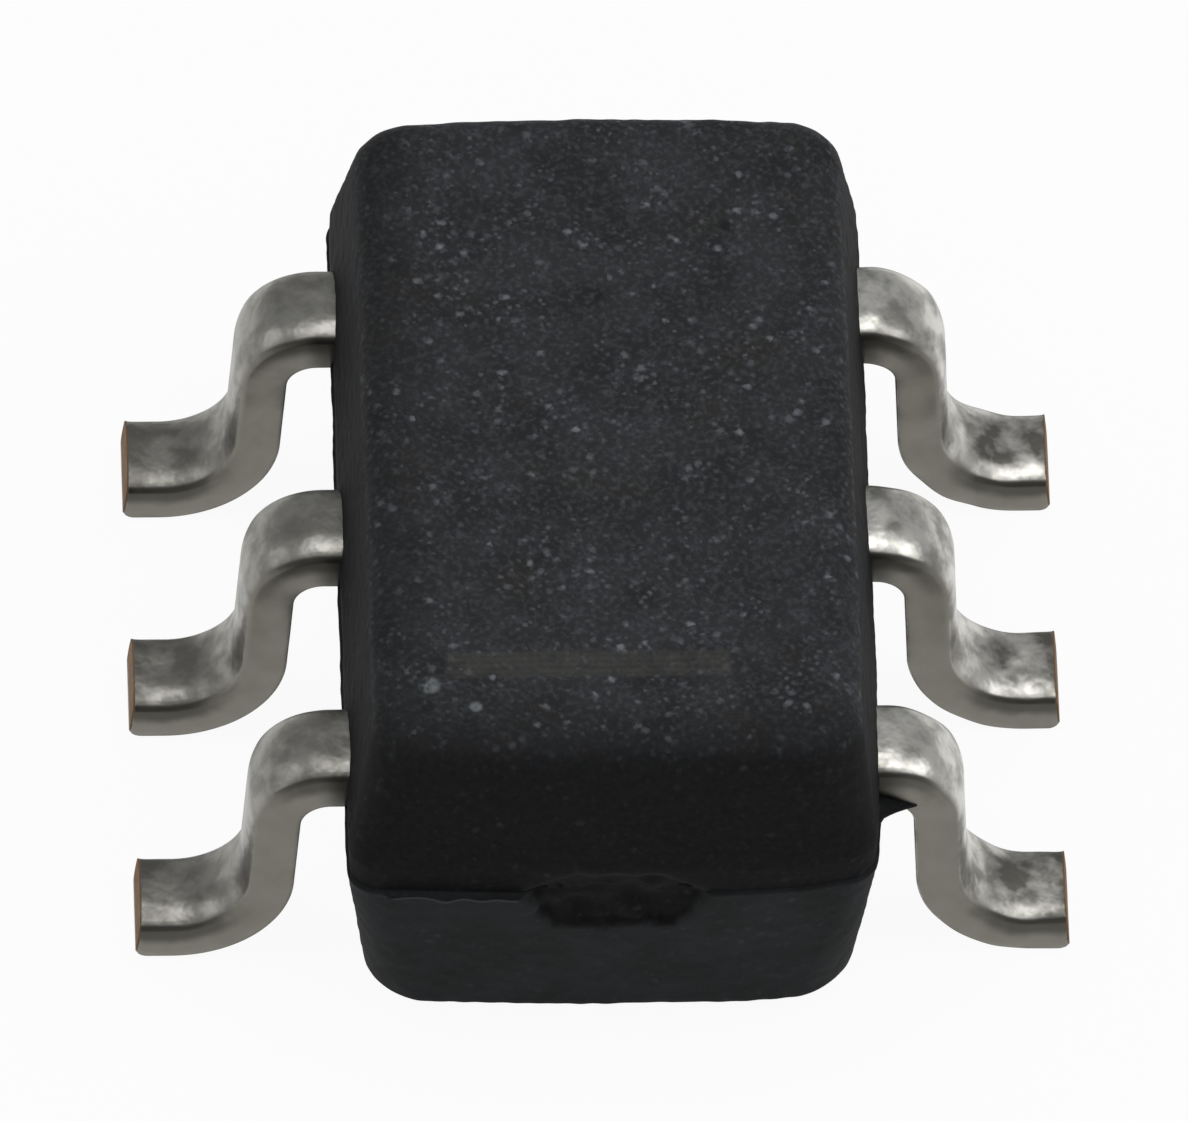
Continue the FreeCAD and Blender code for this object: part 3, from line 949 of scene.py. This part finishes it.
def moulding_colour(finish, on_top, unshaded_share):
    """Colour of the bare compound: top, walls, lower half, gate scar, lip and pits. The third argument is 1 on
    the top face and falls towards its near and left edges, where shade is painted, as it is on the walls."""
    z = finish.axis("Z")
    upper = finish.ramp(z, parting_height + 1 * MICRON, parting_height + 5 * MICRON)
    clouds = finish.ramp(finish.noise(0.13 * MM, detail=3.0), 0.3, 0.7)
    browner = finish.ramp(finish.noise(0.2 * MM, detail=2.0), 0.52, 0.72)
    grain = finish.noise(0.016 * MM, detail=3.0, roughness=0.6)
    top = finish.blend(clouds, *top_colours)
    top = finish.blend(browner * 0.5, top, brown_top_colour)
    # Painted shade: the walls above the parting line are dark.
    shaded_wall = finish.blend(grain, *shaded_wall_colours)
    # Painted light: below the parting line the walls are paler, as if lit from the floor.
    below = finish.blend(clouds, *floor_lit_lower_wall_colours)
    # Painted shade: the broken surface of the gate scar is painted dark, as shade in the recess.
    broken = finish.blend(grain, *shaded_scar_colours)
    sides = finish.blend(upper, below, shaded_wall)
    sides = finish.blend(finish.ramp(finish.mark("scar"), 0.2, 0.7), sides, broken)
    # A painted highlight along the edge of the lip.
    sides = finish.blend(finish.ramp(finish.mark("lip"), 0.7, 0.92), sides, lip_highlight_colour)
    whole = finish.blend(on_top * unshaded_share, sides, top)
    pits = dots(finish, 0.06 * MM, 0.16, 0.06) * on_top
    return finish.blend(pits * 0.7, whole, pit_colour)


def burned_bar(finish):
    """Share of burned compound in the laser bar: a hatch of fine lines, which a wider noise makes patchy."""
    bar = patch(finish, bar_left, bar_right, bar_near, bar_far, 8 * MICRON)
    hatch = finish.ramp(finish.math("SINE", finish.axis("Y") * (2 * math.pi / hatch_pitch)), -0.8, 0.8)
    patchy = finish.ramp(finish.noise(0.045 * MM, detail=3.0), 0.3, 0.6)
    return bar * (0.4 + patchy * 0.6) * (0.5 + hatch * 0.3)


def moulding_finish():
    finish = Finish("moulding_compound", Specular_IOR_Level=0.14)
    on_top = finish.ramp(finish.axis("Z"), top_height - 0.06 * MM, top_height - 0.028 * MM)
    # Painted shade: the top face darkens towards its near and left edges.
    from_near = finish.ramp(finish.axis("Y"), face_near - 0.09 * MM, face_near + 0.18 * MM)
    from_left = finish.ramp(finish.axis("X"), face_left - 0.03 * MM, face_left + 0.13 * MM)
    unshaded_share = from_near * (0.5 + from_left * 0.5)
    # Flecks are pale filler grains and painted glints, strongest on the open top face.
    flecks_and_glints = finish.math("MINIMUM", flecks_and_glints_of(finish) * (0.12 + on_top * unshaded_share * 0.88), 1.0)
    colour = moulding_colour(finish, on_top, unshaded_share)
    colour = finish.blend(flecks_and_glints, colour, fleck_and_glint_colour)
    colour = finish.blend(burned_bar(finish) * on_top, colour, burned_colour)
    mottled = finish.ramp(finish.noise(0.018 * MM), 0.25, 0.65)
    for spot_x, spot_y, size in specks_on_top:
        spot = speck(finish, spot_x, spot_y, size) * on_top * mottled
        colour = finish.blend(spot * 0.9, colour, speck_colour)
    finish.shade(Base_Color=colour, Roughness=0.8 - on_top * 0.12 - flecks_and_glints * 0.25)
    grain = finish.noise(0.016 * MM, detail=3.0, roughness=0.6)
    finish.emboss(grain * (0.5 * MICRON + on_top * (1.4 * MICRON)) + flecks_and_glints * (0.8 * MICRON))
    return finish


paint(moulding, moulding_finish())

# %% [markdown]
# ### Tin plating
#
# The leads are plated with matte tin. It reflects softly, with a faint warm tint, and forming has left the
# rolled faces dented and stained, most of all in the hollow where the foot begins and at its tip. Leads 1
# to 3 are painted brighter, standing in for more light on their side. The stamped sides are evenly greyer,
# their burnished upper part is painted dark as a reflection, close to the moulding they carry painted shade,
# and at the sheared tips the copper core shows.

# %% Finish of the leads
shaded_left_tin_colour = (0.31, 0.303, 0.277, 1)
lit_right_tin_colour = (0.68, 0.665, 0.62, 1)
stain_colour = (0.160, 0.155, 0.138, 1)
torn_side_colours = (0.205, 0.196, 0.168, 1), (0.175, 0.167, 0.143, 1)
burnish_reflection_colour = (0.075, 0.072, 0.062, 1)
moulding_shade_colour = (0.040, 0.038, 0.033, 1)
copper_colours = (0.24, 0.135, 0.060, 1), (0.13, 0.072, 0.034, 1)


def lead_finish():
    finish = Finish("matte_tin", Specular_IOR_Level=0.2)
    grain = finish.noise(0.012 * MM, detail=2.0)
    dents = finish.noise(0.055 * MM, detail=2.0, roughness=0.5)
    stamped = finish.mark("stamped")
    right = finish.ramp(finish.axis("X"), -0.2 * MM, 0.2 * MM)
    stains = finish.ramp(finish.noise(0.07 * MM, detail=3.0, roughness=0.55), 0.36, 0.70)
    soiled = finish.mark("hollow") * finish.ramp(dents, 0.2, 0.6)
    dull = finish.math("MINIMUM", stains * 0.75 + soiled * 0.7, 1.0)
    # Painted reflection: the burnished upper part of the stamped sides is painted dark.
    dark_reflection_band = finish.ramp(finish.mark("burnish_reflection") + (dents - 0.5) * 0.5, 0.1, 0.95)
    bare = finish.ramp(finish.mark("cut") + (grain - 0.5) * 0.9, 0.4, 0.7)
    bare = bare * finish.ramp(finish.axis("Z"), 0.01 * MM, 0.05 * MM)
    # Painted shade: the stamped sides darken close to the moulding.
    from_wall = finish.math("ABSOLUTE", finish.axis("X") - mould_shift) - body_width / 2
    root = finish.ramp(from_wall, 0.075 * MM, 0.01 * MM) * stamped
    # Painted light: leads 1 to 3, on the right, are painted brighter than leads 4 to 6.
    tin = finish.blend(right, shaded_left_tin_colour, lit_right_tin_colour)
    tin = finish.blend(dull, tin, stain_colour)
    tin = finish.blend(stamped, tin, finish.blend(dents, *torn_side_colours))
    tin = finish.blend(dark_reflection_band * 0.9, tin, burnish_reflection_colour)
    tin = finish.blend(root * 0.8, tin, moulding_shade_colour)
    copper = finish.blend(dents, *copper_colours)
    under = finish.mark("under")
    finish.shade(Base_Color=finish.blend(bare, tin, copper),
                 Metallic=finish.math("MAXIMUM", 1.0 - under * 0.7 - bare * 0.85, 0.0),
                 Roughness=0.31 + dull * 0.1 + grain * 0.05 + bare * 0.3 + under * 0.2)
    finish.emboss((dents * (4.0 * MICRON) + grain * (0.35 * MICRON)) * (1.0 - stamped * 0.8))
    return finish


tin_finish = lead_finish()
for lead in leads:
    paint(lead, tin_finish)

# %% [markdown]
# ### Inside the moulding
#
# The die, its glue and the gold wires are sealed in, so no light reaches them. They still get the finish
# that someone who cuts the model open expects: silicon is a dark mirror with a faint grid of circuits, the
# glue is epoxy filled with silver flakes, and the wires are bright gold.

# %% Finishes of the inner pieces
circuit_block = 0.1 * MM
silicon_colours = (0.10, 0.11, 0.14, 1), (0.34, 0.30, 0.22, 1)
silver_epoxy_colours = (0.30, 0.29, 0.27, 1), (0.62, 0.61, 0.58, 1)
gold_colours = (0.93, 0.68, 0.27, 1), (0.82, 0.56, 0.20, 1)


def silicon_finish():
    finish = Finish("silicon", Metallic=0.6)
    blocks = {"Vector": finish.place, "Scale": 1 / circuit_block, "Mortar Size": 0.03}
    lines = finish.node("ShaderNodeTexBrick", output="Fac", inputs=blocks)
    finish.shade(Base_Color=finish.blend(lines, *silicon_colours),
                 Roughness=0.18 + finish.noise(0.02 * MM) * 0.1)
    return finish


def silver_epoxy_finish():
    finish = Finish("silver_epoxy")
    flakes = finish.ramp(finish.noise(0.006 * MM, detail=2.0), 0.45, 0.6)
    finish.shade(Base_Color=finish.blend(flakes, *silver_epoxy_colours),
                 Metallic=flakes * 0.8, Roughness=0.55 - flakes * 0.2)
    return finish


def gold_finish():
    finish = Finish("gold", Metallic=1.0)
    grain = finish.noise(0.008 * MM, detail=2.0)
    finish.shade(Base_Color=finish.blend(grain, *gold_colours),
                 Roughness=0.2 + grain * 0.12)
    return finish


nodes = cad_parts
paint(nodes["silicon_die"], silicon_finish())
paint(nodes["die_attach"], silver_epoxy_finish())
wire_finish = gold_finish()
for number in range(1, 7):
    paint(nodes[f"bond_wire_{number}"], wire_finish)
print("materials:", len(bpy.data.materials))

# %% [markdown]
# ## Stage
#
# A plain pale floor carries the part. To the camera, and in the metal's reflections, it is nearly white, but
# it still takes the shadow of the object, because only a part of what is seen there is its own glow. From
# below it is clear, so that the underside can be looked at.

# %% Floor
floor_half_width = 40 * MM
floor_glow_share = 0.94
floor_colour = (0.82, 0.82, 0.81, 1)


def add_floor():
    corners = np.array([[-1, -1, 0], [1, -1, 0], [1, 1, 0], [-1, 1, 0]]) * floor_half_width
    mesh = bpy.data.meshes.new("floor")
    mesh.from_pydata(corners.tolist(), [], [(0, 1, 2, 3)])
    floor = bpy.data.objects.new("floor", mesh)
    bpy.context.scene.collection.objects.link(floor)
    finish = Finish("pale_floor", Base_Color=floor_colour, Roughness=0.9, Specular_IOR_Level=0.0)
    seen = finish.math("MAXIMUM", finish.node("ShaderNodeLightPath", output="Is Camera Ray"),
                       finish.node("ShaderNodeLightPath", output="Is Glossy Ray"))
    glow = finish.node("ShaderNodeEmission", inputs={"Color": (1, 1, 1, 1), "Strength": 1.0})
    surface = Varying(finish, finish.shader.outputs["BSDF"])
    shown = finish.node("ShaderNodeMixShader", inputs={0: seen * floor_glow_share, 1: surface, 2: glow})
    below = finish.node("ShaderNodeNewGeometry", output="Backfacing")
    clear = finish.node("ShaderNodeBsdfTransparent")
    whole = finish.node("ShaderNodeMixShader", inputs={0: below, 1: shown, 2: clear})
    finish.feed(finish.tree.nodes["Material Output"].inputs["Surface"], whole)
    paint(floor, finish)


add_floor()

# %% [markdown]
# ## Light
#
# Soft boxes are given by how bright their surface looks, not by their power, because then their size and
# distance can be changed without changing the level. A flat lamp sends out pi times its area times that
# brightness. Together with the even light of the room they add up to about one on a level surface, so a
# colour renders about as it is written.

# %% Soft boxes and room light
room_brightness = 0.40
room_colour = (0.97, 0.985, 1.0, 1)
lamp_distance = 14 * MM


def add_soft_box(name, azimuth, elevation, width, height, brightness):
    """A flat lamp in the direction (azimuth, elevation) as seen from the object, facing the object."""
    data = bpy.data.lights.new(name, "AREA")
    data.shape = "RECTANGLE"
    data.size = width
    data.size_y = height
    data.energy = math.pi * width * height * brightness
    lamp = bpy.data.objects.new(name, data)
    right, up, backward = camera_axes(math.radians(azimuth), math.radians(elevation), 0.0)
    matrix = np.eye(4)
    matrix[:3, 0], matrix[:3, 1], matrix[:3, 2] = right, up, backward
    matrix[:3, 3] = target + backward * lamp_distance
    lamp.matrix_world = matrix.T.tolist()
    lamp.visible_camera = False
    bpy.context.scene.collection.objects.link(lamp)


def light_room():
    """Even light from all round, slightly cool. To the camera the room is white."""
    world = bpy.data.worlds.new("room")
    world.use_nodes = True
    tree = world.node_tree
    background = tree.nodes["Background"]
    background.inputs["Color"].default_value = room_colour
    background.inputs["Strength"].default_value = room_brightness
    white = tree.nodes.new("ShaderNodeBackground")
    white.inputs["Strength"].default_value = 1.0
    white.inputs["Color"].default_value = (1, 1, 1, 1)
    path = tree.nodes.new("ShaderNodeLightPath")
    mix = tree.nodes.new("ShaderNodeMixShader")
    tree.links.new(path.outputs["Is Camera Ray"], mix.inputs[0])
    tree.links.new(background.outputs[0], mix.inputs[1])
    tree.links.new(white.outputs[0], mix.inputs[2])
    tree.links.new(mix.outputs[0], tree.nodes["World Output"].inputs["Surface"])
    bpy.context.scene.world = world


add_soft_box("overhead_box", 180, 86, 13 * MM, 6 * MM, 2.9)
add_soft_box("left_box", -95, 28, 8 * MM, 6 * MM, 1.05)
add_soft_box("right_box", 80, 45, 8 * MM, 7 * MM, 2.0)
light_room()

# %% [markdown]
# ## Close
#
# The colours are shown plainly.

# %% Show the colours plainly
bpy.context.scene.view_settings.view_transform = "Standard"
